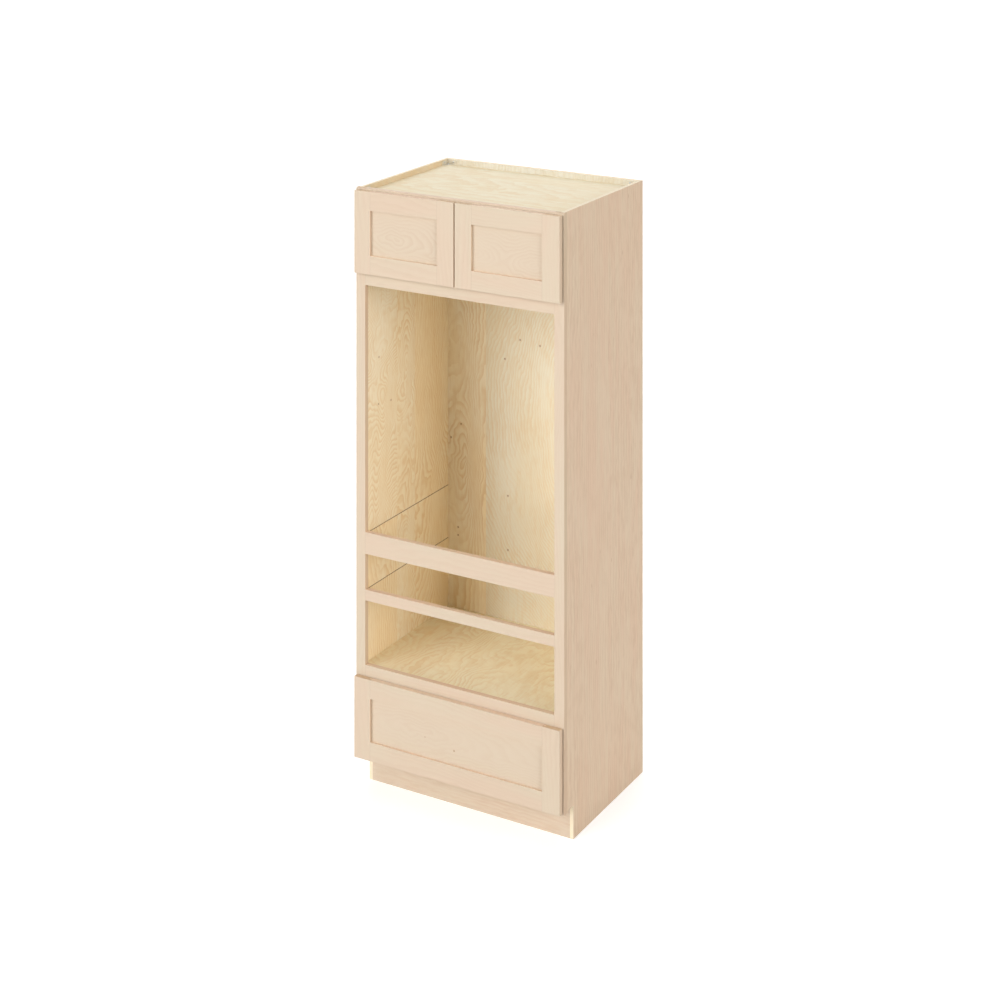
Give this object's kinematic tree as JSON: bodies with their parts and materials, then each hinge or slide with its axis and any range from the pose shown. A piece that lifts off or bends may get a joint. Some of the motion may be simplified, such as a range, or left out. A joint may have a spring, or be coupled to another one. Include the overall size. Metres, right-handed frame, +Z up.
{
  "type": "double oven cabinet",
  "caption": "Tall framed kitchen cabinet for a double wall oven, with doors above, an open bay crossed by rails, a deep drawer below and a recessed toe space.",
  "frame": {"origin": "on the floor, under the middle of the whole cabinet, doors and drawer front included", "axes": "+X across the front to the viewer's right, +Y from the front to the back, +Z up. The doors and the drawer face -Y."},
  "size_m": [0.8382, 0.6318, 2.1336],
  "materials": {
    "maple": "unfinished, sanded maple",
    "maple_plywood": "unfinished maple-faced plywood, raw at the edges",
    "birch_plywood": "unfinished birch plywood",
    "drawer_birch": "unfinished birch boards",
    "brace_plastic": "moulded, pale grey",
    "bumper_rubber": "soft and pale",
    "hinge_steel": "nickel plated, satin",
    "slide_steel": "zinc plated, rolled"
  },
  "bodies": {
    "carcass": {"left_side_panel": "maple_plywood", "right_side_panel": "maple_plywood", "top_panel": "birch_plywood", "cupboard_floor": "birch_plywood", "oven_deck": "birch_plywood", "drawer_bay_floor": "birch_plywood", "back_panel": "birch_plywood", "hanging_rails": "birch_plywood", "toe_kick_board": "maple_plywood", "left_upper_liner": "birch_plywood", "left_middle_liner": "birch_plywood", "left_lower_liner": "birch_plywood", "right_upper_liner": "birch_plywood", "right_middle_liner": "birch_plywood", "right_lower_liner": "birch_plywood", "corner_braces": "brace_plastic", "left_stile": "maple", "right_stile": "maple", "top_rail": "maple", "cupboard_rail": "maple", "oven_rail": "maple", "middle_rail": "maple", "deck_rail": "maple", "bottom_rail": "maple", "left_hinge_arms": "hinge_steel", "right_hinge_arms": "hinge_steel", "hinge_plate_screws": "hinge_steel", "left_slide_track": "slide_steel", "right_slide_track": "slide_steel", "slide_brackets": "slide_steel", "bumpers": "bumper_rubber"},
    "left_door": {"left_door_hinge_stile": "maple", "left_door_meeting_stile": "maple", "left_door_top_rail": "maple", "left_door_bottom_rail": "maple", "left_door_panel": "maple", "left_hinge_cups": "hinge_steel", "left_hinge_pins": "hinge_steel"},
    "right_door": {"right_door_hinge_stile": "maple", "right_door_meeting_stile": "maple", "right_door_top_rail": "maple", "right_door_bottom_rail": "maple", "right_door_panel": "maple", "right_hinge_cups": "hinge_steel", "right_hinge_pins": "hinge_steel"},
    "drawer": {"drawer_front_left_stile": "maple", "drawer_front_right_stile": "maple", "drawer_front_top_rail": "maple", "drawer_front_bottom_rail": "maple", "drawer_front_panel": "maple", "drawer_box_left": "drawer_birch", "drawer_box_right": "drawer_birch", "drawer_box_front": "drawer_birch", "drawer_box_back": "drawer_birch", "drawer_box_bottom": "drawer_birch", "left_slide_runner": "slide_steel", "right_slide_runner": "slide_steel", "drawer_front_screws": "hinge_steel"},
    "slide_middles": {"left_slide_middle": "slide_steel", "right_slide_middle": "slide_steel"}
  },
  "joints": [
    {"name": "left_door_hinge", "type": "hinge", "parent": "carcass", "child": "left_door", "pos_m": [-0.40485, -0.30638, 1.9812], "axis": [0, 0, -1], "range_deg": [0, 105]},
    {"name": "right_door_hinge", "type": "hinge", "parent": "carcass", "child": "right_door", "pos_m": [0.40485, -0.30638, 1.9812], "axis": [0, 0, 1], "range_deg": [0, 105]},
    {"name": "drawer_slide", "type": "slide", "parent": "carcass", "child": "drawer", "axis": [0, -1, 0], "range_m": [0, 0.533]},
    {"name": "slide_middle_travel", "type": "slide", "parent": "carcass", "child": "slide_middles", "axis": [0, -1, 0], "range_m": [0, 0.2665]}
  ],
  "couplings": [
    {"joint": "slide_middle_travel", "follows": "drawer_slide", "ratio": 0.5}
  ]
}
